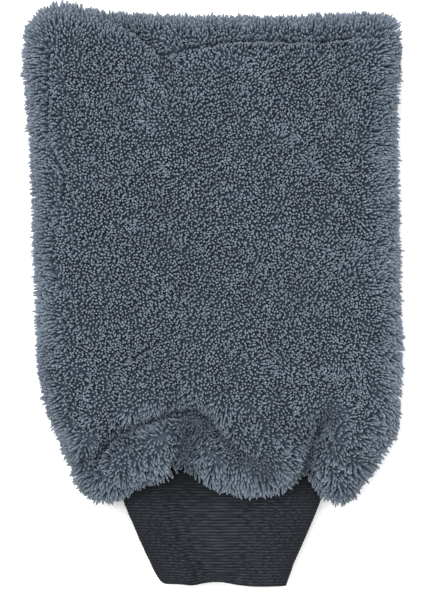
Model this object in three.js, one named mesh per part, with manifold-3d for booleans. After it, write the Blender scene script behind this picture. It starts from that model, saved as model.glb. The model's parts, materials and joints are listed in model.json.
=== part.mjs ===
// Plush wash mitt with a lined hand pocket and a ribbed elastic wrist cuff.
// Millimetres. +Z is up, out of the front face, +Y runs to the fingertips and -Y to the cuff.

import * as THREE from 'three';
import { mergeVertices } from 'three/addons/utils/BufferGeometryUtils.js';
import Module from 'manifold-3d';

const wasm = await Module();
wasm.setup();

// Driving dimensions.
const SIDE = 95; // half the width of the plush, measured to the pile tips
const TIP = 141; // fingertip end
const LOBE = -100; // where the gathered plush hangs lowest over the cuff
const NOTCH = -89; // where it is drawn in between two lobes
const THICKNESS = 34; // table to the pile tips on the front face, at the shoulders
const CROWN = 2; // how much higher the middle of the front face stands
const SEAM_HEIGHT = 14; // height of the side seam above the table
const PLUSH = 10.5; // pile and knitted backing together
const BACK_PLUSH = 8.5; // the same on the back, pressed flat by the mitt's weight
const LINING = 0.8; // lining fabric
const WEBBING = 1.5; // elastic webbing of the cuff
const THREAD = 1.2; // width of an overlocked thread chain
const GAP = 0.3; // clearance between pieces that touch
const SEAM_GAP = 1.2; // room between the shell, the thread chains beside its seam and the lining

// Rounding of the edges, as the width of the band that curves down to the seam.
const FRONT_EDGE = 16;
const BACK_EDGE = 14;
const POCKET_EDGE = 26;

// The cuff: a flat tube on a slightly sloping centre line.
const CUFF_ROOT = { y: -85.5, z: 13 }; // sewn end, inside the gathers
const CUFF_END = { y: -145.5, z: 9 }; // free end
const CUFF_MIDDLE = 5; // sideways place of the cuff's centre line
const CUFF_SQUARENESS = 3.2; // exponent of the cuff's section: 2 is an ellipse, more is squarer
const NECK_SQUARENESS = 6; // the same, of the opening in the gathers that the cuff comes out of
const HINGE = { y: -93, z: 12.5 }; // line that the cuff bends about, at the gathered seam
const CUFF_LIFT = THREE.MathUtils.degToRad(30); // furthest that the cuff bends up
const HINGE_CLEARANCE = 0.6;
const NECK_DEPTH = 22; // how far the opening goes on past the cuff's sewn end, to clear the gathers
const NECK_FLOOR = BACK_PLUSH + GAP + LINING + 0.5; // just above the lining on the back panel

// Half width and half height of the cuff, by the distance along it from the sewn end.
const CUFF_STATIONS = [
  { along: 0, halfWidth: 52, halfHeight: 6 },
  { along: 13.5, halfWidth: 51, halfHeight: 5.9 },
  { along: 24, halfWidth: 46.5, halfHeight: 5.8 },
  { along: 36, halfWidth: 41, halfHeight: 5.7 },
  { along: 49.5, halfWidth: 35, halfHeight: 5.6 },
  { along: 60, halfWidth: 32, halfHeight: 5.5 },
];

// Facet counts.
const PANEL_STEPS = 88;
const CUFF_STEPS = 44;
const THREAD_SIDES = 6;

// The first and last step round the outline that the side seam reaches, either side of the cuff.
const SEAM_FROM = 7;
const SEAM_TO = 79;

// Seam line of the mitt at the pile tips, anticlockwise from the middle lobe over the cuff.
function outlineCurve() {
  const points = [
    [18, LOBE],
    [34, LOBE + 2],
    [45, NOTCH - 2],
    [55, LOBE + 2],
    [66, LOBE - 4.5],
    [78, LOBE + 4],
    [88, LOBE + 20],
    [SIDE - 1, LOBE + 42],
    [SIDE, LOBE + 104],
    [SIDE - 3, TIP - 56],
    [SIDE - 1, TIP - 14],
    [SIDE - 5, TIP - 1],
    [SIDE - 19, TIP + 1.5],
    [28, TIP - 0.5],
    [-20, TIP - 1.5],
    [-58, TIP + 2],
    [-78, TIP + 5],
    [-92, TIP - 4.5],
    [-SIDE + 1, TIP - 22],
    [-SIDE + 3.5, TIP - 70],
    [-SIDE + 6.5, LOBE + 100],
    [-SIDE + 11, LOBE + 53],
    [-SIDE + 22, LOBE + 20],
    [-60, LOBE - 0.5],
    [-46, LOBE - 1],
    [-33, LOBE + 5.5],
    [-14, NOTCH + 1],
    [3, LOBE + 3.5],
  ];
  return new THREE.CatmullRomCurve3(points.map(([x, y]) => new THREE.Vector3(x, y, 0)), true);
}

const OUTLINE = outlineCurve();

// Unit ray from the middle of the mitt to the outline, and its reach, at a share of the way round.
function rayAt(share) {
  const reach = OUTLINE.getPointAt(share);
  return { direction: reach.clone().normalize(), length: reach.length() };
}

const RAYS = Array.from({ length: PANEL_STEPS }, (_, step) => rayAt(step / PANEL_STEPS));

// A closed body skinned over rings of equal point counts. A looped body joins its last ring to its
// first; otherwise each end is closed by a fan about the middle of its ring.
function skin(rings, looped) {
  const count = rings[0].length;
  const positions = rings.flat().flatMap((point) => [point.x, point.y, point.z]);
  const index = [];
  const joins = looped ? rings.length : rings.length - 1;
  for (let ring = 0; ring < joins; ring += 1) {
    const near = ring * count;
    const far = ((ring + 1) % rings.length) * count;
    for (let step = 0; step < count; step += 1) {
      const next = (step + 1) % count;
      index.push(near + step, near + next, far + next);
      index.push(near + step, far + next, far + step);
    }
  }
  if (!looped) {
    closeEnd(positions, index, rings[0], 0, true);
    closeEnd(positions, index, rings[rings.length - 1], (rings.length - 1) * count, false);
  }
  return facingOut(positions, index);
}

function closeEnd(positions, index, ring, first, reversed) {
  const middle = ring.reduce((sum, point) => sum.add(point), new THREE.Vector3());
  middle.divideScalar(ring.length);
  const centre = positions.length / 3;
  positions.push(middle.x, middle.y, middle.z);
  for (let step = 0; step < ring.length; step += 1) {
    const here = first + step;
    const next = first + ((step + 1) % ring.length);
    index.push(centre, reversed ? next : here, reversed ? here : next);
  }
}

// Turns every face over if the body was skinned inside out.
function facingOut(positions, index) {
  const corner = (slot) => new THREE.Vector3().fromArray(positions, index[slot] * 3);
  let volume = 0;
  for (let slot = 0; slot < index.length; slot += 3) {
    volume += corner(slot).dot(corner(slot + 1).cross(corner(slot + 2)));
  }
  const geometry = new THREE.BufferGeometry();
  geometry.setAttribute('position', new THREE.Float32BufferAttribute(positions, 3));
  geometry.setIndex(volume < 0 ? index.reverse() : index);
  return geometry;
}

function toSolid(geometry) {
  return new wasm.Manifold(new wasm.Mesh({
    numProp: 3,
    vertProperties: new Float32Array(geometry.attributes.position.array),
    triVerts: new Uint32Array(geometry.index.array),
  }));
}

function fromSolid(solid) {
  const mesh = solid.getMesh();
  const geometry = new THREE.BufferGeometry();
  geometry.setAttribute('position', new THREE.BufferAttribute(mesh.vertProperties, 3));
  geometry.setIndex(new THREE.BufferAttribute(mesh.triVerts, 1));
  return geometry;
}

// Rings of one face of a panel, from its middle out to the seam. The face starts `inset` inside the
// outline, stands `rise` above the seam (below it when negative) and curves down over `edge`.
function panelFace({ inset, edge, rise, crown = 0, middleShares, edgeSteps }) {
  const base = SEAM_HEIGHT + Math.sign(rise) * GAP / 2;
  const place = (ray, reach, z) => ray.direction.clone().multiplyScalar(reach).setZ(z);
  const middle = middleShares.map((share) => RAYS.map((ray) => {
    const reach = share * (ray.length - inset - edge);
    return place(ray, reach, base + rise + crown * (1 - share * share));
  }));
  const rounded = Array.from({ length: edgeSteps }, (_, step) => {
    const turn = (step + 1) / edgeSteps * Math.PI / 2;
    return RAYS.map((ray) => {
      const reach = ray.length - inset - edge * (1 - Math.sin(turn));
      return place(ray, reach, base + rise * Math.cos(turn));
    });
  });
  return [...middle, ...rounded];
}

// A panel is the body between an outer face and an inner face, with a flat land round the seam.
function panel(outer, inner) {
  return skin([...panelFace(outer), ...panelFace(inner).reverse()], false);
}

const SHELL_DETAIL = { middleShares: [0.2, 0.65, 1], edgeSteps: 4 };
const SHELL_INNER_DETAIL = { middleShares: [0.3, 1], edgeSteps: 4 };
const LINING_DETAIL = { middleShares: [0.3, 1], edgeSteps: 3 };

const FRONT_RISE = THICKNESS - SEAM_HEIGHT;
const POCKET_RISE = FRONT_RISE - PLUSH - CROWN / 2;
const POCKET_DEPTH = SEAM_HEIGHT - BACK_PLUSH;
// Between shell and lining lie the two seams' thread chains, side by side.
const LINING_INSET = PLUSH + 2 * THREAD + 3 * SEAM_GAP;

function outerFrontPanel() {
  const outer = { inset: 0, edge: FRONT_EDGE, rise: FRONT_RISE - GAP / 2, crown: CROWN, ...SHELL_DETAIL };
  const inner = { inset: PLUSH, edge: POCKET_EDGE, rise: POCKET_RISE, crown: CROWN, ...SHELL_INNER_DETAIL };
  return throughNeck(panel(outer, inner));
}

function outerBackPanel() {
  const outer = { inset: 0, edge: BACK_EDGE, rise: -SEAM_HEIGHT + GAP / 2, ...SHELL_DETAIL };
  const inner = { inset: PLUSH, edge: POCKET_EDGE, rise: -POCKET_DEPTH, ...SHELL_INNER_DETAIL };
  return throughNeck(panel(outer, inner));
}

// `side` is 1 for the lining under the front panel and -1 for the one on the back panel.
function liningPanel(side, rise, crown) {
  const skinOf = (depth) => ({
    inset: LINING_INSET + depth,
    edge: POCKET_EDGE,
    rise: side * (rise - GAP - depth),
    crown,
    ...LINING_DETAIL,
  });
  return throughNeck(panel(skinOf(0), skinOf(LINING)));
}

// Point on the cuff's centre line, `along` it from the sewn end.
function cuffCentre(along) {
  const root = new THREE.Vector3(CUFF_MIDDLE, CUFF_ROOT.y, CUFF_ROOT.z);
  const end = new THREE.Vector3(CUFF_MIDDLE, CUFF_END.y, CUFF_END.z);
  return root.add(end.sub(root).normalize().multiplyScalar(along));
}

// Ring of points round a flattened tube.
function flatRing(centre, halfWidth, halfHeight, squareness) {
  const squared = (value) => Math.sign(value) * Math.abs(value) ** (2 / squareness);
  return Array.from({ length: CUFF_STEPS }, (_, step) => {
    const turn = step / CUFF_STEPS * 2 * Math.PI;
    return new THREE.Vector3(
      centre.x + halfWidth * squared(Math.cos(turn)),
      centre.y,
      centre.z + halfHeight * squared(Math.sin(turn)),
    );
  });
}

// The cuff's wall, as rings down its outside and back up its inside.
function cuffBand() {
  const wall = (depth) => CUFF_STATIONS.map((station) => flatRing(
    cuffCentre(station.along),
    station.halfWidth - depth,
    station.halfHeight - depth,
    CUFF_SQUARENESS,
  ));
  return skin([...wall(0), ...wall(WEBBING).reverse()], true);
}

// Room for the cuff's sewn end in the gathered neck, at rest and bent up by CUFF_LIFT, and the way
// on from it between the two linings.
function neckRoom() {
  const root = CUFF_STATIONS[0];
  const halfHeight = root.halfHeight + HINGE_CLEARANCE;
  const rootLength = CUFF_ROOT.y - HINGE.y + THREAD + 2 * GAP;
  const atRest = -Math.atan2(CUFF_ROOT.z - CUFF_END.z, CUFF_ROOT.y - CUFF_END.y);
  const lifted = CUFF_LIFT + atRest;
  const wallAt = (tilt, side, y) => {
    const offset = side * halfHeight / Math.cos(tilt);
    return HINGE.z + offset - (y - HINGE.y) * Math.tan(tilt);
  };
  // The lifted cuff's sewn end is deepest at its lower corner and reaches furthest in at its upper one.
  const reach = HINGE.y + rootLength * Math.cos(lifted);
  const lowerCorner = reach - halfHeight * Math.sin(lifted);
  const upperCorner = reach + halfHeight * Math.sin(lifted);
  const mouth = LOBE - 2 * PLUSH;
  const stations = [
    { y: CUFF_ROOT.y + NECK_DEPTH, low: NECK_FLOOR },
    { y: upperCorner + GAP, low: NECK_FLOOR },
    { y: upperCorner, low: wallAt(atRest, -1, upperCorner) },
    { y: lowerCorner, low: wallAt(lifted, -1, lowerCorner) },
    { y: HINGE.y, low: wallAt(lifted, -1, HINGE.y) },
    { y: mouth, low: wallAt(atRest, -1, mouth) },
  ];
  const rings = stations.map(({ y, low }) => {
    const high = Math.max(wallAt(atRest, 1, HINGE.y), wallAt(lifted, 1, y));
    const centre = new THREE.Vector3(CUFF_MIDDLE, y, (high + low) / 2);
    return flatRing(centre, root.halfWidth + HINGE_CLEARANCE, (high - low) / 2, NECK_SQUARENESS);
  });
  return skin(rings, false);
}

const NECK_ROOM = toSolid(neckRoom());

function throughNeck(geometry) {
  return fromSolid(toSolid(geometry).subtract(NECK_ROOM));
}

function threadSection() {
  const section = new THREE.Shape();
  section.absarc(0, 0, THREAD / 2, 0, 2 * Math.PI);
  return section;
}

function threadAlong(points) {
  const curve = new THREE.CatmullRomCurve3(points);
  const geometry = new THREE.ExtrudeGeometry(threadSection(), {
    extrudePath: curve,
    steps: points.length - 1,
    curveSegments: THREAD_SIDES / 2,
    bevelEnabled: false,
  });
  geometry.deleteAttribute('normal');
  geometry.deleteAttribute('uv');
  return mergeVertices(geometry, THREAD / 100);
}

// Thread chain round the hand, from one side of the cuff opening to the other.
function sideSeamThread(inset) {
  const points = RAYS.slice(SEAM_FROM, SEAM_TO + 1).map((ray) => {
    const point = ray.direction.clone().multiplyScalar(ray.length - inset);
    return point.setZ(SEAM_HEIGHT);
  });
  return threadAlong(points);
}

// Zigzag of thread that closes the webbing into a ring, on the inside of its right edge.
function cuffSideSeamThread() {
  const zigzags = 10;
  const reach = 0.8;
  const endMargin = 2;
  const fromFold = 2.8; // the webbing closes in towards its folded edge
  const quarters = zigzags * 4;
  const length = CUFF_STATIONS[CUFF_STATIONS.length - 1].along;
  const points = Array.from({ length: quarters + 1 }, (_, quarter) => {
    const along = THREE.MathUtils.lerp(endMargin, length - endMargin, quarter / quarters);
    const point = cuffCentre(along);
    point.x += halfWidthAt(along) - WEBBING - fromFold;
    point.z += reach * Math.sin(quarter * Math.PI / 2);
    return point;
  });
  return threadAlong(points);
}

function halfWidthAt(along) {
  const next = CUFF_STATIONS.findIndex((station) => station.along >= along);
  const before = CUFF_STATIONS[next - 1];
  const after = CUFF_STATIONS[next];
  const share = (along - before.along) / (after.along - before.along);
  return THREE.MathUtils.lerp(before.halfWidth, after.halfWidth, share);
}

// Ring of thread chain that holds the webbing, the shell and the lining together at the neck.
function cuffJoinThread() {
  const root = CUFF_STATIONS[0];
  const centre = cuffCentre(-GAP - THREAD / 2);
  const inward = WEBBING / 2;
  const route = flatRing(centre, root.halfWidth - inward, root.halfHeight - inward, CUFF_SQUARENESS);
  const rings = route.map((point) => {
    const outward = point.clone().sub(centre).normalize();
    return Array.from({ length: THREAD_SIDES }, (_, side) => {
      const turn = side / THREAD_SIDES * 2 * Math.PI;
      const offset = outward.clone().multiplyScalar(THREAD / 2 * Math.cos(turn));
      return offset.setY(THREAD / 2 * Math.sin(turn)).add(point);
    });
  });
  return skin(rings, true);
}

// Bar of thread that ties a fingertip corner of the lining to the shell, above the seam threads.
const TACK = { radius: 0.8, length: 3, rise: 3, inset: PLUSH + 5 };

function liningTack(share) {
  const ray = rayAt(share);
  const tack = new THREE.Mesh(new THREE.CylinderGeometry(TACK.radius, TACK.radius, TACK.length, 8));
  tack.geometry.deleteAttribute('normal');
  tack.geometry.deleteAttribute('uv');
  tack.position.copy(ray.direction).multiplyScalar(ray.length - TACK.inset);
  tack.position.z = SEAM_HEIGHT + TACK.rise;
  tack.quaternion.setFromUnitVectors(new THREE.Vector3(0, 1, 0), ray.direction);
  return tack;
}

const RIGHT_CORNER = 0.375; // share of the way round the outline
const LEFT_CORNER = 0.603;

const MATERIALS = {
  plush: { color: 0x5c6670, roughness: 0.95, metalness: 0 },
  lining: { color: 0x4a4f55, roughness: 0.9, metalness: 0 },
  webbing: { color: 0x25272b, roughness: 0.8, metalness: 0 },
  thread: { color: 0x2b2e33, roughness: 0.6, metalness: 0 },
};

function named(name, look, shape) {
  const mesh = shape.isMesh ? shape : new THREE.Mesh(shape);
  mesh.name = name;
  mesh.material = new THREE.MeshStandardMaterial(MATERIALS[look]);
  return mesh;
}

const mitt = new THREE.Group();
mitt.add(
  named('outer_front_panel', 'plush', outerFrontPanel()),
  named('outer_back_panel', 'plush', outerBackPanel()),
  named('outer_seam_thread', 'thread', sideSeamThread(PLUSH + SEAM_GAP + THREAD / 2)),
  named('lining_front_panel', 'lining', liningPanel(1, POCKET_RISE, CROWN)),
  named('lining_back_panel', 'lining', liningPanel(-1, POCKET_DEPTH, 0)),
  named('lining_seam_thread', 'thread', sideSeamThread(PLUSH + 2 * SEAM_GAP + 1.5 * THREAD)),
  named('lining_tack_right', 'thread', liningTack(RIGHT_CORNER)),
  named('lining_tack_left', 'thread', liningTack(LEFT_CORNER)),
  named('cuff_band', 'webbing', cuffBand()),
  named('cuff_side_seam_thread', 'thread', cuffSideSeamThread()),
  named('cuff_join_thread', 'thread', cuffJoinThread()),
);

// The origin is the middle of the mitt's footprint, on the table.
const footprint = new THREE.Box3().setFromObject(mitt);
const centre = footprint.getCenter(new THREE.Vector3());
mitt.position.set(-centre.x, -centre.y, -footprint.min.z);

const model = new THREE.Group();
model.add(mitt);

export default model;
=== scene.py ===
"""Looks of a plush wash mitt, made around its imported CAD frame.

Metres, +Z up. The mitt lies on its back with the fingertips at +Y and the cuff at -Y. Each outer panel is a
knitted backing that carries a pile of separate tufts, and a cloth simulation rounds out its gathers.
"""

import json
import math

import bmesh
import bpy
import numpy as np
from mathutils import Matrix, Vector


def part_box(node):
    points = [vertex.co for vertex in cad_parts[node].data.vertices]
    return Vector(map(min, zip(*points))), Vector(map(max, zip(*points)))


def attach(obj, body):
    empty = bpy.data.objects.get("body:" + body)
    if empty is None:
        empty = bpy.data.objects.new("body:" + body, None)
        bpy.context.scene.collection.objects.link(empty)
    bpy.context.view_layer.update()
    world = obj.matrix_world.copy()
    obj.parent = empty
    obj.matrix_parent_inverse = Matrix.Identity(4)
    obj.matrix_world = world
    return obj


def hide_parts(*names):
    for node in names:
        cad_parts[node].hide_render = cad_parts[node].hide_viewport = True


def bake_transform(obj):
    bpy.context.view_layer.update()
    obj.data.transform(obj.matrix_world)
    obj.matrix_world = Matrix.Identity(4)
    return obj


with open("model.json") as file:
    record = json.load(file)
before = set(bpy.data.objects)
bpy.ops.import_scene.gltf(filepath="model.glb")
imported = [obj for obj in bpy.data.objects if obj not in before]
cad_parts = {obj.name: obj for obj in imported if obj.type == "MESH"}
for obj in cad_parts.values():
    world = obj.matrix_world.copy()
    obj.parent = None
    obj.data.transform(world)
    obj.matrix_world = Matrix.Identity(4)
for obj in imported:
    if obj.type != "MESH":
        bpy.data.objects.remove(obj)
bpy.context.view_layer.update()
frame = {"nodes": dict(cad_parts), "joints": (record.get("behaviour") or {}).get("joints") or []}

MM = 0.001
SEED = 7

# ---- Places that come from the frame ----

PLUSH_LOW, PLUSH_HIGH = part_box("outer_front_panel")
CUFF_LOW, CUFF_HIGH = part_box("cuff_band")
HINGE = Vector(frame["joints"][0]["pos_m"])
SEAM_Z = PLUSH_LOW.z
SIDE = PLUSH_HIGH.x
TIP = PLUSH_HIGH.y - 6 * MM  # the fingertip edge, between its raised corners
LOBE = PLUSH_LOW.y + 4.5 * MM  # lowest part of the middle lobe over the cuff
CUFF_X = (CUFF_LOW.x + CUFF_HIGH.x) / 2
CUFF_Z = HINGE.z + 0.5 * MM  # middle of the cuff at its root
CUFF_LENGTH = CUFF_HIGH.y - CUFF_LOW.y

# ---- Sizes of the cloth ----

PILE = 7.5 * MM  # length of a tuft
FRONT_SPACING = 1.02 * MM  # between tufts, at the least
BACK_SPACING = 1.2 * MM
TUFT_RADIUS = 0.54 * MM
EDGE_INSET = 5 * MM  # how far the pile stands out past the side seam
BACKING = 0.8 * MM  # thickness of the knitted backing
LINING = 0.5 * MM
LINING_DEPTH = 2.2 * MM  # from the backing's middle to the lining's
FRONT_HEIGHT = PLUSH_HIGH.z - PILE - 1.2 * MM  # backing of the front panel, at its highest
BACK_HEIGHT = 6 * MM  # backing of the back panel, above the table
FRONT_EDGE = 14 * MM  # how far in from the seam the front panel is still rising
BACK_EDGE = 11 * MM
WEBBING = 1.3 * MM
RIB_PITCH = 1.5 * MM
RIB_HEIGHT = 0.16 * MM
CUFF_GIRTH = 180 * MM  # round the middle of the cuff
SEAM_ALLOWANCE = 7 * MM  # of the cuff, inside the mitt
THREAD = 0.22 * MM  # radius of sewing thread

# Where the neck starts: tufts rooted below it, or less than a tuft's length above it, make up the neck
# pieces.
BEND_START = (0, CUFF_HIGH.y + 9 * MM, HINGE.z)


# ---- Small helpers ----

def smooth(value):
    """A smooth step: 0 at 0 or less, and 1 at 1 or more."""
    value = np.clip(value, 0, 1)
    return value * value * (3 - 2 * value)


def rising(values, start, end):
    """A smooth step: 0 at start or less, and 1 at end or more."""
    return smooth((values - start) / (end - start))


def unit(vectors):
    return vectors / np.maximum(np.linalg.norm(vectors, axis=-1, keepdims=True), 1e-12)


STEPS_PER_POINT = 30  # of a curve, before its points are spaced evenly


def spline(points, count, closed=False):
    """Evenly spaced points on a Catmull-Rom curve through the given points."""
    points = np.array(points, float)
    if closed:
        points = np.vstack([points[-1:], points, points[:2]])
    else:
        points = np.vstack([2 * points[0] - points[1], points, 2 * points[-1] - points[-2]])
    steps = np.linspace(0, len(points) - 3, STEPS_PER_POINT * len(points))
    index = np.minimum(steps.astype(int), len(points) - 4)
    t = (steps - index)[:, None]
    a, b, c, d = (points[index + k] for k in range(4))
    fine = 0.5 * (2 * b + (c - a) * t + (2 * a - 5 * b + 4 * c - d) * t**2 + (3 * b - a - 3 * c + d) * t**3)
    return along_line(fine, np.linspace(0, 1, count, endpoint=not closed))


def at_shares(line, values, shares):
    """Values given at the points of a line, read at shares of its length."""
    length = np.concatenate([[0], np.cumsum(np.linalg.norm(np.diff(line, axis=0), axis=1))])
    values = np.broadcast_to(values, line.shape)
    return np.stack([np.interp(shares * length[-1], length, column) for column in values.T], axis=1)


def along_line(line, shares):
    """Points of a line at the given shares of its length."""
    return at_shares(line, line, shares)


def nearest(points, line):
    """Distance from each 2-D point to the nearest point of a line, and which point of the line that is."""
    distance = np.linalg.norm(points[:, None, :] - line[None, :, :], axis=2)
    index = distance.argmin(1)
    return distance[np.arange(len(points)), index], index


class Noise:
    """Smooth seeded noise of about -1 to 1: plane waves of about one size in random directions, summed."""

    def __init__(self, size, seed, waves=14):
        random = np.random.default_rng(seed)
        directions = unit(random.normal(size=(waves, 3)))
        self.waves = directions * (2 * math.pi / size) * random.uniform(0.7, 1.4, (waves, 1))
        self.phase = random.uniform(0, 2 * math.pi, waves)

    def __call__(self, points):
        return np.sin(points @ self.waves.T + self.phase).sum(-1) / math.sqrt(len(self.phase))


def mesh_object(name, vertices, faces, material):
    """An object from points and a list of face arrays, where each array holds faces of one corner count."""
    mesh = bpy.data.meshes.new(name)
    corners = np.concatenate([f.ravel() for f in faces])
    sizes = np.concatenate([np.full(len(f), f.shape[1]) for f in faces])
    mesh.vertices.add(len(vertices))
    mesh.vertices.foreach_set("co", np.asarray(vertices, np.float32).ravel())
    mesh.loops.add(len(corners))
    mesh.loops.foreach_set("vertex_index", corners.astype(np.int32))
    mesh.polygons.add(len(sizes))
    mesh.polygons.foreach_set("loop_start", (np.cumsum(sizes) - sizes).astype(np.int32))
    mesh.polygons.foreach_set("use_smooth", np.ones(len(sizes), bool))
    mesh.update(calc_edges=True)
    mesh.materials.append(material)
    thing = bpy.data.objects.new(name, mesh)
    bpy.context.scene.collection.objects.link(thing)
    return thing


def grid_faces(rows, columns, wrap=False):
    """Quads of a grid of points stored row by row. With wrap, the last column joins the first."""
    across = columns if wrap else columns - 1
    row, column = np.meshgrid(np.arange(rows - 1), np.arange(across), indexing="ij")
    here = (row * columns + column).ravel()
    beside = (row * columns + (column + 1) % columns).ravel()
    return np.stack([here, beside, beside + columns, here + columns], axis=1)


def loop_corners(mesh):
    corners = np.zeros(len(mesh.loops), np.int32)
    mesh.loops.foreach_get("vertex_index", corners)
    return corners


def add_map(thing, name, per_vertex):
    """A texture map from one pair of numbers for each point."""
    layer = thing.data.uv_layers.new(name=name)
    layer.data.foreach_set("uv", per_vertex[loop_corners(thing.data)].astype(np.float32).ravel())


def apply_modifiers(thing):
    evaluated = thing.evaluated_get(bpy.context.evaluated_depsgraph_get())
    applied = bpy.data.meshes.new_from_object(evaluated)
    thing.modifiers.clear()
    thing.data = applied


def bends(piece, node):
    """Bakes the piece's place into its mesh and hides the CAD node that it stands for."""
    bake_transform(piece)
    stands_for(node)


def rides(piece, body, node):
    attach(piece, body)
    stands_for(node)


def stands_for(node):
    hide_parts(node)


# ---- Materials ----

class Shader:
    """A node material round one Principled shader, with short calls for the nodes that materials use."""

    def __init__(self, name, **sockets):
        self.material = bpy.data.materials.new(name)
        self.material.use_nodes = True
        self.tree = self.material.node_tree
        self.shader = self.tree.nodes["Principled BSDF"]
        for socket, value in sockets.items():
            self.shader.inputs[socket.replace("_", " ")].default_value = value

    def put(self, value, socket):
        """Links a node's output to a socket, or sets the socket to a plain value."""
        if isinstance(value, bpy.types.NodeSocket):
            self.tree.links.new(value, socket)
        else:
            socket.default_value = value

    def math(self, operation, *values):
        node = self.tree.nodes.new("ShaderNodeMath")
        node.operation = operation
        for value, socket in zip(values, node.inputs):
            self.put(value, socket)
        return node.outputs[0]

    def mix(self, factor, first, second):
        node = self.tree.nodes.new("ShaderNodeMix")
        node.data_type = "RGBA"
        for value, name in ((factor, "Factor_Float"), (first, "A_Color"), (second, "B_Color")):
            socket = next(s for s in node.inputs if s.identifier == name)
            self.put(value, socket)
        return next(s for s in node.outputs if s.identifier == "Result_Color")

    def attribute(self, name):
        node = self.tree.nodes.new("ShaderNodeAttribute")
        node.attribute_name = name
        return node.outputs["Fac"]

    def place(self, map_name=None):
        """The two or three coordinates of a texture map, or of the object itself."""
        if map_name:
            node = self.tree.nodes.new("ShaderNodeUVMap")
            node.uv_map = map_name
            source = node.outputs["UV"]
        else:
            source = self.tree.nodes.new("ShaderNodeTexCoord").outputs["Object"]
        parts = self.tree.nodes.new("ShaderNodeSeparateXYZ")
        self.put(source, parts.inputs[0])
        return source, parts.outputs

    def point(self, x, y):
        node = self.tree.nodes.new("ShaderNodeCombineXYZ")
        self.put(x, node.inputs["X"])
        self.put(y, node.inputs["Y"])
        return node.outputs[0]

    def noise(self, source, scale, detail=2.0):
        node = self.tree.nodes.new("ShaderNodeTexNoise")
        self.put(source, node.inputs["Vector"])
        node.inputs["Scale"].default_value = scale
        node.inputs["Detail"].default_value = detail
        return node.outputs["Fac"]

    def contrast(self, value, low, high):
        """The value with low to high spread over 0 to 1, and cut off beyond them."""
        spread = self.math("MULTIPLY_ADD", value, 1 / (high - low), -low / (high - low))
        spread.node.use_clamp = True
        return spread

    def wave(self, value, pitch, shift=0.0):
        """A smooth wave of 0 to 1 that repeats once every pitch."""
        turned = self.math("MULTIPLY_ADD", value, 2 * math.pi / pitch, shift)
        return self.math("MULTIPLY_ADD", self.math("SINE", turned), 0.5, 0.5)

    def color(self, value):
        self.put(value, self.shader.inputs["Base Color"])

    def bump(self, height, distance, strength=1.0):
        node = self.tree.nodes.new("ShaderNodeBump")
        self.put(height, node.inputs["Height"])
        node.inputs["Distance"].default_value = distance
        node.inputs["Strength"].default_value = strength
        self.put(node.outputs["Normal"], self.shader.inputs["Normal"])

    def roughness(self, value, low, high):
        self.put(self.math("MULTIPLY_ADD", value, high - low, low), self.shader.inputs["Roughness"])


TUFT_CELLS = 63  # a pile piece's map has this many cells each way, one for each tuft
PLIES = 2  # strands twisted together in a tuft
PLY_TURNS = 4.0  # that they make from its root to its tip


def pile_material():
    """Microfibre yarn: slate blue, purer at the root, greyer at the tip, and each tuft of its own shade,
    which also carries painted shade in furrows and gathers.
    """
    s = Shader("plush_yarn", Sheen_Weight=0.1, Sheen_Roughness=0.4, Sheen_Tint=(0.75, 0.85, 1, 1))
    along = s.attribute("along")
    shade = s.attribute("shade")
    root = s.mix(shade, (0.070, 0.092, 0.120, 1), (0.310, 0.408, 0.540, 1))
    tip = s.mix(shade, (0.072, 0.090, 0.114, 1), (0.240, 0.286, 0.342, 1))
    s.color(s.mix(s.math("POWER", along, 1.1), root, tip))
    source, (across, up, _) = s.place("OFBake")
    round_tuft = s.math("MULTIPLY", across, float(TUFT_CELLS))
    up_tuft = s.math("MULTIPLY", up, PLY_TURNS * TUFT_CELLS)
    s.bump(s.wave(s.math("ADD", round_tuft, up_tuft), 1 / PLIES), 0.12 * MM, 0.6)
    s.roughness(s.noise(source, 400), 0.55, 0.85)
    return s.material


def backing_material():
    """Fine warp knit: rows of small loops, dark slate."""
    s = Shader("plush_backing", Roughness=0.9)
    source, (x, y, _) = s.place("Weave")
    columns = s.wave(x, 0.8 * MM)
    rows = s.wave(s.math("MULTIPLY_ADD", columns, 0.4 * MM, y), 0.9 * MM)
    loops = s.math("MULTIPLY", columns, rows)
    cloudy = s.noise(source, 90)
    yarn = s.mix(cloudy, (0.100, 0.135, 0.180, 1), (0.140, 0.180, 0.230, 1))
    s.color(s.mix(loops, (0.050, 0.068, 0.095, 1), yarn))
    s.bump(loops, 0.25 * MM)
    return s.material


def lining_material():
    """Plain-woven polyester: fine threads each way, grey, with a slight gloss on the threads."""
    s = Shader("lining_weave", Specular_IOR_Level=0.45)
    source, (x, y, _) = s.place("Weave")
    thread_pitch = 0.55 * MM
    warp = s.wave(x, thread_pitch)
    weft = s.wave(y, thread_pitch)
    weave = s.math("MAXIMUM", s.math("MULTIPLY", warp, warp), s.math("MULTIPLY", weft, weft))
    cloudy = s.noise(source, 60, 4.0)
    thread = s.mix(cloudy, (0.055, 0.060, 0.068, 1), (0.085, 0.092, 0.102, 1))
    s.color(s.mix(weave, (0.025, 0.028, 0.033, 1), thread))
    s.bump(weave, 0.12 * MM)
    s.roughness(weave, 0.75, 0.5)
    return s.material


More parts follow.
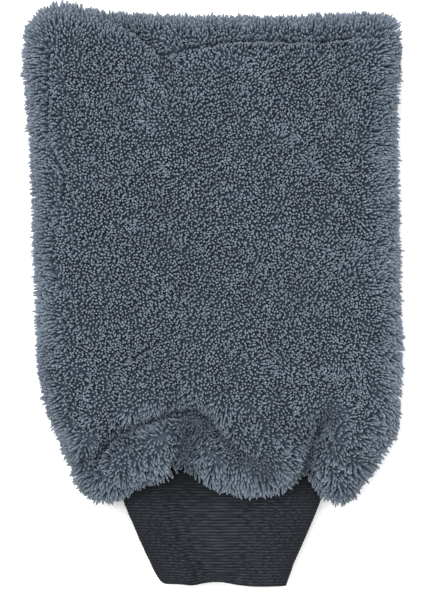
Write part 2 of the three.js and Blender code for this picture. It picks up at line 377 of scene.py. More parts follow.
def webbing_material():
    """Ribbed elastic: charcoal yarn on the ribs, darker in the grooves, with painted shade towards the side
    folds and a painted shadow of the lobes at the root.
    """
    s = Shader("cuff_ribbing", Sheen_Weight=0.02, Sheen_Roughness=0.45, Specular_IOR_Level=0.05)
    source, (around, along, _) = s.place("Weave")
    rib = s.wave(along, RIB_PITCH, math.pi / 2)
    stitch = s.wave(s.math("MULTIPLY_ADD", along, 0.35, around), 0.9 * MM)
    drawn_out = s.point(s.math("MULTIPLY", around, 0.45), along)
    flecks = s.contrast(s.noise(drawn_out, 1100), 0.40, 0.62)
    patches = s.contrast(s.noise(source, 45), 0.3, 0.7)
    yarn = s.mix(patches, (0.010, 0.012, 0.015, 1), (0.022, 0.025, 0.034, 1))
    yarn = s.mix(s.math("MULTIPLY", flecks, 0.75), yarn, (0.062, 0.068, 0.080, 1))
    groove_and_shadow = (0.003, 0.004, 0.005, 1)
    cloth = s.mix(s.math("MULTIPLY_ADD", rib, 0.6, 0.2), groove_and_shadow, yarn)
    # Painted shadow of the lobes on the cuff: over this length from the root the cloth darkens to the groove
    # colour.
    shadowed_length = 22 * MM  # from the root
    cloth = s.mix(s.contrast(along, 0.0, shadowed_length), groove_and_shadow, cloth)
    # Painted shade: the cuff darkens towards its two side folds, where the flattened tube turns away from
    # the light.
    turn = s.math("MULTIPLY", around, 2 * math.pi / CUFF_GIRTH)
    from_fold = s.math("ABSOLUTE", s.math("SINE", turn))
    s.color(s.mix(s.math("POWER", from_fold, 0.6), (0.007, 0.008, 0.010, 1), cloth))
    s.bump(s.math("MULTIPLY", rib, s.math("MULTIPLY_ADD", stitch, 0.5, 0.5)), 0.2 * MM)
    s.roughness(flecks, 0.6, 0.9)
    return s.material


def thread_material():
    """Twisted polyester sewing thread, dark grey."""
    s = Shader("sewing_thread", Specular_IOR_Level=0.5)
    source, (x, y, z) = s.place()
    twist = s.wave(s.math("ADD", s.math("ADD", x, y), z), 0.35 * MM)
    lint = s.noise(source, 900)
    strand = s.mix(lint, (0.030, 0.034, 0.042, 1), (0.060, 0.066, 0.078, 1))
    s.color(s.mix(twist, (0.014, 0.016, 0.020, 1), strand))
    s.bump(twist, 0.06 * MM)
    s.roughness(lint, 0.45, 0.7)
    return s.material


PLUSH_YARN = pile_material()
PLUSH_BACKING = backing_material()
LINING_WEAVE = lining_material()
CUFF_RIBBING = webbing_material()
SEWING_THREAD = thread_material()


# ---- The mitt's seam line ----

SEAM_POINTS = 720


def seam_outline():
    """The side seam, anticlockwise from the middle lobe: the outline of the pile tips, less the pile."""
    tips = [
        (17.5 * MM, LOBE), (33.5 * MM, LOBE + 2 * MM), (44.5 * MM, LOBE + 8 * MM),
        (54 * MM, LOBE + 1 * MM), (63.5 * MM, LOBE - 3.5 * MM), (73 * MM, LOBE + 4 * MM),
        (83 * MM, LOBE + 21 * MM), (SIDE - 2 * MM, LOBE + 44 * MM), (SIDE - 2.5 * MM, LOBE + 104 * MM),
        (SIDE - 4 * MM, TIP - 56 * MM), (SIDE - 2 * MM, TIP - 15 * MM), (SIDE - 6 * MM, TIP - 3 * MM),
        (SIDE - 19 * MM, TIP - 0.5 * MM), (28 * MM, TIP - 2 * MM), (-20 * MM, TIP - 1.5 * MM),
        (-58 * MM, TIP + 1.5 * MM), (-78 * MM, TIP + 4.5 * MM), (-91 * MM, TIP - 5 * MM),
        (1 * MM - SIDE, TIP - 22 * MM), (4.5 * MM - SIDE, TIP - 70 * MM), (7.2 * MM - SIDE, LOBE + 100 * MM),
        (10 * MM - SIDE, LOBE + 53 * MM), (20.5 * MM - SIDE, LOBE + 19 * MM), (-61 * MM, LOBE - 0.5 * MM),
        (-47 * MM, LOBE - 1 * MM), (-34 * MM, LOBE + 5 * MM), (-14.7 * MM, LOBE + 9.5 * MM),
        (3 * MM, LOBE + 3 * MM),
    ]
    outer = spline(tips, SEAM_POINTS, closed=True)
    ahead = np.roll(outer, -1, axis=0) - np.roll(outer, 1, axis=0)
    inward = unit(np.stack([-ahead[:, 1], ahead[:, 0]], axis=1))
    return outer + inward * EDGE_INSET


SEAM = seam_outline()


def seam_part(start, end):
    """The points of the seam from the one nearest start to the one nearest end, anticlockwise."""
    first = np.linalg.norm(SEAM - start, axis=1).argmin()
    last = np.linalg.norm(SEAM - end, axis=1).argmin()
    last += len(SEAM) if last < first else 0
    return SEAM[np.arange(first, last + 1) % len(SEAM)]


# ---- Panels: a grid of points each, front and back sharing their edge ----

COLUMNS, ROWS = 85, 111
NECK_HALF_WIDTH = 50 * MM
CORNERS = {
    "bottom_left": (22 * MM - SIDE, LOBE + 22 * MM),
    "bottom_right": (SIDE - 14 * MM, LOBE + 20 * MM),
    "top_right": (SIDE - 11 * MM, TIP - 9 * MM),
    "top_left": (13 * MM - SIDE, TIP - 7 * MM),
}


def closer_at_ends(count):
    """Shares from 0 to 1 that lie closer together at both ends."""
    even = np.linspace(0, 1, count)
    return even - 0.4 * np.sin(2 * math.pi * even) / (2 * math.pi)


def panel_plan():
    """Places of a panel's grid points seen from above, filled in from the panel's four sides."""
    across, along = closer_at_ends(COLUMNS), closer_at_ends(ROWS)
    bottom = along_line(seam_part(CORNERS["bottom_left"], CORNERS["bottom_right"]), across)
    right = along_line(seam_part(CORNERS["bottom_right"], CORNERS["top_right"]), along)
    top = along_line(seam_part(CORNERS["top_right"], CORNERS["top_left"])[::-1], across)
    left = along_line(seam_part(CORNERS["top_left"], CORNERS["bottom_left"])[::-1], along)
    u, v = across[None, :, None], along[:, None, None]
    sides = (1 - v) * bottom[None] + v * top[None] + (1 - u) * left[:, None] + u * right[:, None]
    ends = (1 - u) * (1 - v) * bottom[0] + u * (1 - v) * bottom[-1] + (1 - u) * v * top[0] + u * v * top[-1]
    return (sides - ends).reshape(-1, 2)


# Furrows in the front panel, in millimetres: a line on it, how deep and how wide the furrow is, and how
# much the pile is parted along it.
FURROWS = [
    {"line": [(-14.5, -92), (-14.5, -80), (-12, -70), (-6, -61)], "depth": 16, "width": 7, "part": 0.15},
    {"line": [(-58, -80), (-46, -69), (-31, -62), (-12, -56), (-2, -61), (4, -71), (15, -80), (25, -84)],
     "depth": 14, "width": 5, "part": 0},
    {"line": [(44.5, -91), (47, -80), (50, -70), (58, -58)], "depth": 14, "width": 5.5, "part": 0},
    {"line": [(-39, -31), (-35, -28), (-31, -26)], "depth": 3, "width": 4, "part": 0.2},
    {"line": [(-18, -50), (-18, -35), (-15, -22)], "depth": 2, "width": 4, "part": 0.1},
    {"line": [(84, 126.5), (62, 125), (48, 123.5), (30, 124.5), (12, 124), (-6, 121.5), (-24, 118)],
     "depth": 5, "width": 2.2, "part": 0.45},
    {"line": [(-54, 134), (-40, 129), (-30, 122), (-20, 112)], "depth": 5, "width": 3.5, "part": 0.2},
    {"line": [(-80, 118), (-79.5, 77), (-73.5, 61), (-73, 49), (-77, 27), (-77.5, 15), (-73, 4)],
     "depth": 2.5, "width": 2.5, "part": 0.35},
]

# Rounded lobes that the gathers push up, in millimetres: a middle, two half sizes and a height.
LOBES = [
    {"middle": (-40, -80), "size": (22, 11), "height": 4},
    {"middle": (0, -80), "size": (9, 12), "height": 2.5},
    {"middle": (24, -82), "size": (18, 12), "height": 4},
    {"middle": (67, -84), "size": (14, 14), "height": 3},
    {"middle": (-8, -42), "size": (7, 24), "height": 1.6},
    {"middle": (-16, -54), "size": (36, 6), "height": 3.5},
]

FURROW_POINTS = 60
PARTING_WIDTH = 3 * MM  # from a furrow's line to where the pile is parted and the cloth is held


def furrow_line(furrow):
    return spline(np.array(furrow["line"]) * MM, FURROW_POINTS)


def relief(plan):
    """Height that furrows and lobes add to the front panel at the given places."""
    waves = Noise(60 * MM, SEED)(np.column_stack([plan, np.zeros(len(plan))]))
    height = 0.8 * MM * waves
    for lobe in LOBES:
        offset = (plan - np.array(lobe["middle"]) * MM) / (np.array(lobe["size"]) * MM)
        height += lobe["height"] * MM * np.exp(-(offset**2).sum(1))
    for furrow in FURROWS:
        distance, index = nearest(plan, furrow_line(furrow))
        fade = smooth((FURROW_POINTS - index) / (FURROW_POINTS / 3))
        height -= furrow["depth"] * MM * fade * np.exp(-(distance / (furrow["width"] * MM))**2)
    return height


def swell(distance, edge):
    """Rises from 0 at the seam to 1 at the given distance from it, as a quarter circle does."""
    return np.sqrt(1 - (1 - np.clip(distance / edge, 0, 1))**2)


def panel_points():
    """Grid points of the front panel and of the back panel, before the cloth simulation."""
    plan = panel_plan()
    distance, _ = nearest(plan, SEAM)
    distance[edge_mask()] = 0
    front = SEAM_Z + (FRONT_HEIGHT - SEAM_Z + relief(plan)) * swell(distance, FRONT_EDGE)
    back = SEAM_Z + (BACK_HEIGHT - SEAM_Z) * swell(distance, BACK_EDGE)
    return keep_over_cuff(np.column_stack([plan, front])), np.column_stack([plan, back])


CUFF_CLEARANCE = 1.2 * MM  # from the top of the cuff to the middle of the backing over it


def keep_over_cuff(points):
    """Lifts the front panel where it would sink into the cuff."""
    beside = np.abs(points[:, 0] - CUFF_X)
    over = (beside < NECK_HALF_WIDTH) & (points[:, 1] < CUFF_HIGH.y + 2 * SEAM_ALLOWANCE)
    over &= ~edge_mask()
    points[over, 2] = np.maximum(points[over, 2], CUFF_HIGH.z + CUFF_CLEARANCE)
    return points


def edge_mask():
    """True at the points of a panel that lie on its edge."""
    mask = np.ones((ROWS, COLUMNS), bool)
    mask[1:-1, 1:-1] = False
    return mask.ravel()


MOST_SHIFT = 2.5 * MM  # that the simulation may move a point
CLOTH_FRAMES = 18
# How firmly it holds the cloth, where 0 is free and 1 is fixed.
HELD_AT_GATHERS, HELD_ABOVE_THEM, HELD_AT_NECK, HELD_IN_FURROWS = 0.05, 0.5, 0.6, 0.9


def inflate(front, back):
    """Lets the air pressure of a cloth simulation round out the gathers, and returns both panels."""
    inner = ~edge_mask()
    back_index = np.arange(len(front))
    back_index[inner] = len(front) + np.arange(inner.sum())
    points = np.vstack([front, back[inner]])
    faces = grid_faces(ROWS, COLUMNS)
    shell = mesh_object("shell_simulation", points, [faces, back_index[faces][:, ::-1]], PLUSH_BACKING)
    group = shell.vertex_groups.new(name="held")
    for index, weight in enumerate(hold_weights(points, len(front))):
        group.add([index], float(weight), "REPLACE")
    make_cloth(shell, group.name)
    shift = run_cloth(shell, len(points)) - points
    length = np.linalg.norm(shift, axis=1, keepdims=True)
    points = points + shift * np.minimum(1, MOST_SHIFT / np.maximum(length, 1e-9))
    points[:, 2] = np.clip(points[:, 2], BACK_HEIGHT - 0.5 * MM, FRONT_HEIGHT + 2 * MM)
    return keep_over_cuff(points[:len(front)]), points[back_index]


def make_cloth(shell, held_group):
    """Makes the shell a stretchy cloth under slight air pressure, held by the weights of a vertex group."""
    cloth = shell.modifiers.new("Cloth", "CLOTH")
    settings = cloth.settings
    settings.quality = 6
    settings.mass = 0.2
    settings.tension_stiffness = 12
    settings.compression_stiffness = 12
    settings.bending_stiffness = 0.5
    settings.use_pressure = True
    settings.uniform_pressure_force = 1.5
    settings.shrink_min = -0.02
    settings.vertex_group_mass = held_group
    settings.effector_weights.gravity = 0
    cloth.collision_settings.use_self_collision = False


def run_cloth(shell, count):
    """Runs the simulation, removes the shell, and returns the points where it ended."""
    scene = bpy.context.scene
    for number in range(1, CLOTH_FRAMES + 1):
        scene.frame_set(number)
    moved = np.zeros(count * 3, np.float32)
    evaluated = shell.evaluated_get(bpy.context.evaluated_depsgraph_get())
    evaluated.data.vertices.foreach_get("co", moved)
    bpy.data.objects.remove(shell)
    scene.frame_set(1)
    return moved.reshape(-1, 3)


def in_furrow(roots):
    """How far each root lies in a furrow of the front panel: from 0 outside them to 1 in the deepest."""
    deepest = max(furrow["depth"] for furrow in FURROWS)
    share = np.zeros(len(roots))
    for furrow in FURROWS:
        distance, _ = nearest(roots[:, :2], furrow_line(furrow))
        depth = furrow["depth"] / deepest * np.exp(-(distance / (furrow["width"] * MM))**2)
        share = np.maximum(share, depth)
    return share


def hold_weights(points, front_count):
    """How firmly the simulation holds each point: lightly at the gathers, and firmly in the furrows."""
    above = smooth((points[:, 1] + 45 * MM) / (40 * MM))
    held = HELD_AT_GATHERS + (HELD_ABOVE_THEM - HELD_AT_GATHERS) * above
    beside = np.abs(points[:, 0] - CUFF_X)
    neck = (beside < NECK_HALF_WIDTH + 4 * MM) & (points[:, 1] < LOBE + 14 * MM)
    held[neck] = HELD_AT_NECK
    front = points[:front_count, :2]
    for furrow in FURROWS:
        distance, _ = nearest(front, furrow_line(furrow))
        in_it = HELD_IN_FURROWS * np.exp(-(distance / PARTING_WIDTH)**2)
        held[:front_count] = np.maximum(held[:front_count], in_it)
    return held


def normals_of(points):
    """Outward normals of the front panel's grid; the back panel's are these turned round."""
    grid = points.reshape(ROWS, COLUMNS, 3)
    return unit(np.cross(np.gradient(grid, axis=1), np.gradient(grid, axis=0))).reshape(-1, 3)


def evened(normals, rounds=2):
    """Normals averaged with their neighbours', because tufts in a furrow hold each other upright."""
    grid = normals.reshape(ROWS, COLUMNS, 3)
    for _ in range(rounds):
        wide = np.pad(grid, ((1, 1), (1, 1), (0, 0)), mode="edge")
        grid = unit(sum(wide[i:i + ROWS, j:j + COLUMNS] for i in range(3) for j in range(3)))
    return grid.reshape(-1, 3)


def panel_sheet(name, points, normals, thickness, material):
    """A sheet on a panel's grid, left out where the cuff goes through."""
    faces = grid_faces(ROWS, COLUMNS)
    if normals[:, 2].sum() < 0:
        faces = faces[:, ::-1]
    faces = faces[~in_cuff(points[faces].mean(1), 0)]
    sheet = mesh_object(name, points, [faces], material)
    add_map(sheet, "Weave", points[:, :2])
    drop_loose_points(sheet)
    solid = sheet.modifiers.new("Thickness", "SOLIDIFY")
    solid.thickness = thickness
    solid.offset = 0
    apply_modifiers(sheet)
    return sheet


def lining_points(points, normals):
    """The lining lies a little way in from the backing, and just as far in from its edge."""
    inward = -normals * LINING_DEPTH
    edge, _ = nearest(points[:, :2], SEAM)
    middle = np.array([CUFF_X, 20 * MM])
    sideways = unit(middle - points[:, :2]) * (LINING_DEPTH * np.exp(-edge / LINING_DEPTH))[:, None]
    moved = points + inward * smooth(edge / (3 * MM))[:, None]
    moved[:, :2] += sideways
    return moved


def drop_loose_points(thing):
    edit = bmesh.new()
    edit.from_mesh(thing.data)
    bmesh.ops.delete(edit, geom=[v for v in edit.verts if not v.link_faces], context="VERTS")
    edit.to_mesh(thing.data)
    edit.free()


# ---- Cuff: a ribbed elastic tube ----

# Half width and half height of the cuff at shares of its length, in millimetres.
CUFF_STATIONS = [
    (0, 52, 6), (0.22, 51, 5.9), (0.4, 46.8, 5.8), (0.6, 41.8, 5.7), (0.82, 36, 5.6), (1, 32.4, 5.5),
]
CUFF_SQUARENESS = 3.2  # of its section: 2 is an ellipse, and more is squarer
CUFF_SINK = 4 * MM  # how much lower the free end lies than the root
CUFF_SIDES = 168
POINTS_PER_RIB = 5
RIBS = round(CUFF_LENGTH / RIB_PITCH)
CORNER_RADIUS = 5 * MM

# Soft folds along the cuff, in millimetres: x at the root and at the free end, width and height.
CUFF_FOLDS = [(-34, -12, 3.5, 2.6), (-27, -5, 3, -2.2), (-2, 4, 4, 0.9), (24, 15, 5, -1.2)]


def cuff_size(share):
    table = np.array(CUFF_STATIONS)
    return np.interp(share, table[:, 0], table[:, 1]) * MM, np.interp(share, table[:, 0], table[:, 2]) * MM


def cuff_section(angle):
    """Where a point of the tube's section lies across and up, as shares of its half sizes."""
    power = 2 / CUFF_SQUARENESS
    cosine, sine = np.cos(angle), np.sin(angle)
    return np.sign(cosine) * np.abs(cosine)**power, np.sign(sine) * np.abs(sine)**power


def cuff_points(share, angle, inset):
    """Points of the cuff's wall at shares of its length and angles round it, inset from its outside."""
    half_width, half_height = cuff_size(share)
    across, up = cuff_section(angle)
    x = across * (half_width - inset)
    z = CUFF_Z - CUFF_SINK * share + up * (half_height - inset)
    for at_root, at_end, width, height in CUFF_FOLDS:
        middle = (at_root + (at_end - at_root) * share) * MM
        z = z + height * MM * up * smooth(share * 3) * np.exp(-((x + CUFF_X - middle) / (width * MM))**2)
    y = CUFF_HIGH.y - share * CUFF_LENGTH + np.maximum(share, 0)**10 * free_edge_lift(x, half_width)
    return np.stack([x + CUFF_X, y, z], axis=-1)


def free_edge_lift(x, half_width):
    """How far the wavy free edge stays short of the full length: a rounded left corner and a wave."""
    from_left = np.clip(x + half_width, 0, CORNER_RADIUS)
    corner = CORNER_RADIUS - np.sqrt(CORNER_RADIUS**2 - (CORNER_RADIUS - from_left)**2)
    wave = 2.6 * MM * np.exp(-((x + 2 * MM) / (9 * MM))**2) + 1.2 * MM * smooth((-x - 8 * MM) / (12 * MM))
    return corner + wave


def cuff_at(points):
    """Half width, half height and middle height of the cuff at the places of the points along it."""
    share = np.clip((CUFF_HIGH.y - points[..., 1]) / CUFF_LENGTH, 0, 1)
    return *cuff_size(share), CUFF_Z - CUFF_SINK * share


def in_cuff(points, margin):
    """True where a point is inside the cuff's outside, or within margin of it."""
    half_width, half_height, middle = cuff_at(points)
    across = np.abs(points[..., 0] - CUFF_X) / (half_width + margin)
    up = np.abs(points[..., 2] - middle) / (half_height + margin)
    inside = across**CUFF_SQUARENESS + up**CUFF_SQUARENESS < 1
    return inside & (points[..., 1] < CUFF_HIGH.y + SEAM_ALLOWANCE + margin)


def rib_profile(share):
    """Relief of the ribs: rounded crests with narrow grooves."""
    return RIB_HEIGHT * np.abs(np.cos(math.pi * share * RIBS))**0.7


def tube_faces(stations):
    """Faces of the cuff's wall: outside, inside, and the rings that join them at the root and free edge."""
    count = stations * CUFF_SIDES
    grid = grid_faces(stations, CUFF_SIDES, wrap=True)
    around = np.arange(CUFF_SIDES)
    beside = (around + 1) % CUFF_SIDES
    last = count - CUFF_SIDES
    root = np.stack([around, count + around, count + beside, beside], axis=1)
    free = np.stack([last + around, last + beside, count + last + beside, count + last + around], axis=1)
    return [grid[:, ::-1], grid + count, root[:, ::-1], free[:, ::-1]]


def make_cuff():
    hidden = SEAM_ALLOWANCE / CUFF_LENGTH
    stations = round(RIBS * (1 + hidden)) * POINTS_PER_RIB + 1
    share = np.linspace(-hidden, 1, stations)[:, None]
    angle = np.linspace(0, 2 * math.pi, CUFF_SIDES, endpoint=False)[None, :]
    ribs = rib_profile(share)
    unevenness = Noise(7 * MM, SEED + 20)(cuff_points(share, angle, 0)) * 0.06 * MM
    outer = cuff_points(share, angle, RIB_HEIGHT - ribs + unevenness)
    inner = cuff_points(share, angle, WEBBING + ribs * 0.6)
    points = np.vstack([outer.reshape(-1, 3), inner.reshape(-1, 3)])
    cuff = mesh_object("cuff_webbing", points, tube_faces(stations), CUFF_RIBBING)
    across_map = angle / (2 * math.pi) * CUFF_GIRTH
    weave = np.stack(np.broadcast_arrays(across_map, share * RIBS * RIB_PITCH), axis=-1)
    add_map(cuff, "Weave", np.tile(weave.reshape(-1, 2), (2, 1)))
    make_normals_point_out(cuff)
    return cuff


def make_normals_point_out(thing):
    edit = bmesh.new()
    edit.from_mesh(thing.data)
    bmesh.ops.recalc_face_normals(edit, faces=edit.faces)
    edit.to_mesh(thing.data)
    edit.free()


# ---- Pile: separate tufts ----

TRIES = 3  # random places tried for each square of the spacing


def scatter(points, normals, spacing, seed):
    """Roots spread over a panel about spacing apart: their places and normals."""
    random = np.random.default_rng(seed)
    faces = grid_faces(ROWS, COLUMNS)
    triangles = np.vstack([faces[:, [0, 1, 2]], faces[:, [0, 2, 3]]])
    corner = points[triangles]
    area = np.linalg.norm(np.cross(corner[:, 1] - corner[:, 0], corner[:, 2] - corner[:, 0]), axis=1) / 2
    count = int(area.sum() / spacing**2 * TRIES)
    chosen = random.choice(len(triangles), count, p=area / area.sum())
    weight = random.dirichlet((1, 1, 1), count)[:, :, None]
    roots = (corner[chosen] * weight).sum(1)
    directions = unit((normals[triangles][chosen] * weight).sum(1))
    keep = spaced_apart(roots, spacing)
    return roots[keep], directions[keep]


def spaced_apart(points, spacing):
    """Indices of the points, taken in order, that aren't too near one already taken."""
    taken = {}
    keep = []
    around = [(i, j, k) for i in (-1, 0, 1) for j in (-1, 0, 1) for k in (-1, 0, 1)]
    cells = np.floor(points / spacing).astype(int).tolist()
    for index, ((a, b, c), point) in enumerate(zip(cells, points.tolist())):
        others = (other for i, j, k in around for other in taken.get((a + i, b + j, c + k), ()))
        if all(math.dist(point, other) >= spacing for other in others):
            taken.setdefault((a, b, c), []).append(point)
            keep.append(index)
    return np.array(keep)


UPWARD = 0.5  # how much the front's tufts turn straight up, away from standing square to the backing
# Clumps that share a lean: how wide they are, how far they lean, how much more so where the pile is loose,
# and what is added to the seed.
CLUMPS = [
    (38 * MM, 0.09, 0.05, 1),
    (12 * MM, 0.11, 0.04, 4),
    (5 * MM, 0.05, 0.12, 8),
    (2.6 * MM, 0.03, 0.1, 11),
]
PUCKER = np.array([-6, -58, 0]) * MM  # where the gathers over the middle of the cuff meet
RIGHT_PUCKER = np.array([54, -56, 0]) * MM
PUCKER_LEAN = 0.42  # of the tufts below a pucker, away from it
EDGE_LEAN = 0.3  # of the tufts near the side seam, outward
HANGING = np.array([0, -0.6, 0])  # what is added there, except at the fingertips
PRESSED_OUTWARD = 1.1  # lean of the back's tufts, which lie pressed against the table
MIDDLE = np.array([0, 10, 0]) * MM  # of the mitt seen from above
FLAT = np.array([1, 1, 0])  # keeps the x and y of a vector


def in_gathers(roots):
    """How far each root lies down in the gathers over the cuff: from 0 above them to 1 at their lobes."""
    return smooth((PUCKER[1] + 10 * MM - roots[:, 1]) / (20 * MM))


def comb(roots, normals, front):
    """What each tuft's lean adds to the direction that stands square to the backing."""
    outward = unit((roots - MIDDLE) * FLAT)
    reach = np.abs((roots - MIDDLE) / np.array([SIDE, TIP, 1]))[:, :2].max(axis=1)
    at_edge = rising(reach, 0.84, 0.98)[:, None]
    at_tip = rising(roots[:, 1] / TIP, 0.85, 0.95)[:, None]
    lean = (EDGE_LEAN * outward + HANGING * (1 - at_tip)) * at_edge
    lean += pucker_lean(roots)
    gathered = in_gathers(roots)[:, None]
    loose = np.maximum(gathered, at_edge)
    for size, amount, more, seed in CLUMPS:
        field = np.stack([Noise(size, SEED + seed + k)(roots) for k in range(3)], axis=1)
        lean += field * (amount + more * loose)
    lean -= normals * (lean * normals).sum(1, keepdims=True)
    if front:
        inside = rising(roots[:, 2:], SEAM_Z, SEAM_Z + 6 * MM)
        upward = UPWARD * (1 - 0.1 * gathered) * (0.2 + 0.8 * inside)
        return lean + parting(roots) + upward * np.array([0, 0, 1])
    return lean * 0.7 + outward * PRESSED_OUTWARD


def pucker_lean(roots):
    """Lean of the tufts below the puckers, away from the place where the gathers meet."""
    lean = np.zeros_like(roots)
    for pucker, size in ((PUCKER, 40 * MM), (RIGHT_PUCKER, 26 * MM)):
        away = (roots - pucker) * FLAT
        distance = np.linalg.norm(away, axis=1)
        below = smooth((pucker[1] - roots[:, 1]) / (8 * MM))
        strength = PUCKER_LEAN * below * np.exp(-(distance / size)**2)
        lean += unit(away) * strength[:, None]
    return lean


def parting(roots):
    """Lean away from the furrows along which the pile is parted."""
    lean = np.zeros_like(roots)
    for furrow in FURROWS:
        line = furrow_line(furrow)
        distance, index = nearest(roots[:, :2], line)
        away = unit(roots[:, :2] - line[index])
        lean[:, :2] += away * (furrow["part"] * np.exp(-(distance / PARTING_WIDTH)**2))[:, None]
    return lean


SIDES = 5
LENGTH_SPREAD = (0.88, 1.08)  # of a common tuft's length, as shares of PILE
RADIUS_SPREAD = (0.85, 1.15)
LEAN_SPREAD = 0.06
TUFT_CLEARANCE = 0.3 * MM  # from the cuff
FLOOR_CLEARANCE = 0.15 * MM
STRAY_SHARE = 0.08  # of the tufts, which stand out from the rest
STRAY_LENGTH = 1.14  # how long those are, as a share of a common tuft's length
# How far along a tuft each of its rings is, and how wide the ring is for the tuft's radius.
TUFT_RINGS = [(0.0, 0.6), (0.45, 0.9), (0.82, 1.0), (0.96, 0.66)]
POINTS_PER_TUFT = len(TUFT_RINGS) * SIDES + 1
ALONG_TUFT = np.array([share for share, _ in TUFT_RINGS for _ in range(SIDES)] + [1.0])


def tufts(roots, normals, lean, length_share, seed):
    """Points of all the tufts: bent tubes that stand upright at the root and end in a rounded tip."""
    random = np.random.default_rng(seed)
    count = len(roots)
    length = PILE * length_share[:, None] * random.uniform(*LENGTH_SPREAD, (count, 1))
    length *= np.where(random.random((count, 1)) < STRAY_SHARE, STRAY_LENGTH, 1)
    radius = TUFT_RADIUS * random.uniform(*RADIUS_SPREAD, (count, 1))
    lean = lean + random.normal(scale=LEAN_SPREAD, size=(count, 3))
    direction = unit(normals + lean)
    upright = unit(normals + 0.3 * lean)
    side = unit(np.cross(direction, random.normal(size=(count, 3))))
    other = np.cross(direction, side)

    def middle(share):
        return roots + length * (share * (1 - share) * upright + share**2 * direction)

    points = []
    for share, width in TUFT_RINGS:
        for turn in np.arange(SIDES) * 2 * math.pi / SIDES:
            spoke = math.cos(turn) * side + math.sin(turn) * other
            points.append(middle(share) + radius * width * spoke)
    points.append(middle(1.0))
    points = np.stack(points, axis=1)
    points[:, :, 2] = np.maximum(points[:, :, 2], FLOOR_CLEARANCE)
    return points


def tuft_faces(count):
    """Faces of all the tufts: their sides, the fans round their tips and their closed roots."""
    body = grid_faces(len(TUFT_RINGS), SIDES, wrap=True)
    tip = len(TUFT_RINGS) * SIDES
    last = tip - SIDES
    fan = np.array([[last + k, last + (k + 1) % SIDES, tip] for k in range(SIDES)])
    root = np.arange(SIDES)[None, ::-1]
    offset = (np.arange(count) * POINTS_PER_TUFT)[:, None, None]
    return [(group[None] + offset).reshape(-1, group.shape[1]) for group in (body, fan, root)]


def pile_piece(name, points, shade):
    """One object of many tufts."""
    count = len(points)
    piece = mesh_object(name, points.reshape(-1, 3), tuft_faces(count), PLUSH_YARN)
    values = {"along": np.tile(ALONG_TUFT, count), "shade": np.repeat(shade, POINTS_PER_TUFT)}
    for attribute, per_point in values.items():
        data = piece.data.attributes.new(attribute, "FLOAT", "POINT").data
        data.foreach_set("value", per_point.astype(np.float32))
    add_tuft_map(piece)
    return piece


def add_tuft_map(piece):
    """A map with a cell for each tuft: round the tuft goes across the cell, and root to tip goes up it."""
    corners = loop_corners(piece.data)
    starts = np.zeros(len(piece.data.polygons), np.int32)
    sizes = np.zeros(len(piece.data.polygons), np.int32)
    piece.data.polygons.foreach_get("loop_start", starts)
    piece.data.polygons.foreach_get("loop_total", sizes)
    tuft, spot = corners // POINTS_PER_TUFT, corners % POINTS_PER_TUFT
    tip = spot == POINTS_PER_TUFT - 1
    around = (spot % SIDES) / SIDES
    furthest = np.maximum.reduceat(np.where(tip, 0, around), starts)
    on_last_side = np.repeat(furthest, sizes) > (SIDES - 1.5) / SIDES
    closes = on_last_side & (spot % SIDES == 0) & ~tip
    around = np.where(closes, 1.0, around)
    around = np.where(tip, 0.5, around)
    margin = 0.12
    u = (tuft % TUFT_CELLS + margin + (1 - 2 * margin) * around) / TUFT_CELLS
    v = (tuft // TUFT_CELLS + margin + (1 - 2 * margin) * ALONG_TUFT[spot]) / TUFT_CELLS
    layer = piece.data.uv_layers.new(name="OFBake")
    layer.data.foreach_set("uv", np.column_stack([u, v]).astype(np.float32).ravel())


TUFTS_PER_PIECE = 3960
SHORTER_IN_FURROWS = 0.5  # how much of its length a tuft loses in the deepest furrow


def tuft_shade(roots, sunken, seed):
    """Each tuft's shade, from 0 to 1: its own, cloudy over the panel, and lowered by painted shade in
    furrows and gathers.
    """
    random = np.random.default_rng(seed)
    shade = 0.5 + 0.05 * Noise(22 * MM, seed + 1)(roots) + 0.1 * random.normal(size=len(roots))
    # Painted shade: tufts in the furrows and down in the gathers are darkened.
    return np.clip(shade - 0.65 * sunken - 0.12 * in_gathers(roots), 0, 1)


def make_pile(panel, points, normals, front, seed):
    """The pile of one panel, as pieces that ride on the mitt and pieces at the neck."""
    roots, directions = scatter(points, evened(normals), FRONT_SPACING if front else BACK_SPACING, seed)
    outside = ~in_cuff(roots, 0)
    roots, directions = roots[outside], directions[outside]
    sunken = in_furrow(roots) if front else np.zeros(len(roots))
    length_share = 1 - SHORTER_IN_FURROWS * sunken
    shapes = tufts(roots, directions, comb(roots, directions, front), length_share, seed + 1)
    shapes = clear_of_cuff(shapes, front)
    clear = ~in_cuff(shapes, -0.5 * MM).any(axis=1)
    roots, shapes, sunken = roots[clear], shapes[clear], sunken[clear]
    shade = tuft_shade(roots, sunken, seed + 2)
    bending = roots[:, 1] < BEND_START[1] + PILE
    pieces = []
    for chosen, kind in ((bending, "neck"), (~bending, "body")):
        order = np.flatnonzero(chosen)
        order = order[np.argsort(roots[order, 1])]
        parts = np.array_split(order, math.ceil(len(order) / TUFTS_PER_PIECE))
        for number, part in enumerate(parts, 1):
            piece = pile_piece(f"{panel}_{kind}_pile_{number}", shapes[part], shade[part])
            if kind == "neck":
                bends(piece, f"outer_{panel}_panel")
            else:
                rides(piece, "mitt", f"outer_{panel}_panel")
            pieces.append(piece)
    return pieces


def clear_of_cuff(points, front):
    """Lifts the tufts that hang over the cuff clear of it, and keeps those under it down."""
    half_width, half_height, middle = cuff_at(points)
    over = np.abs(points[..., 0] - CUFF_X) < half_width
    over &= points[..., 1] < CUFF_HIGH.y + 2 * MM
    if front:
        lowest = middle + half_height + TUFT_CLEARANCE
        points[..., 2] = np.where(over, np.maximum(points[..., 2], lowest), points[..., 2])
    else:
        highest = middle - half_height - TUFT_CLEARANCE
        points[..., 2] = np.where(over, np.minimum(points[..., 2], highest), points[..., 2])
    return points


# ---- Sewing thread ----

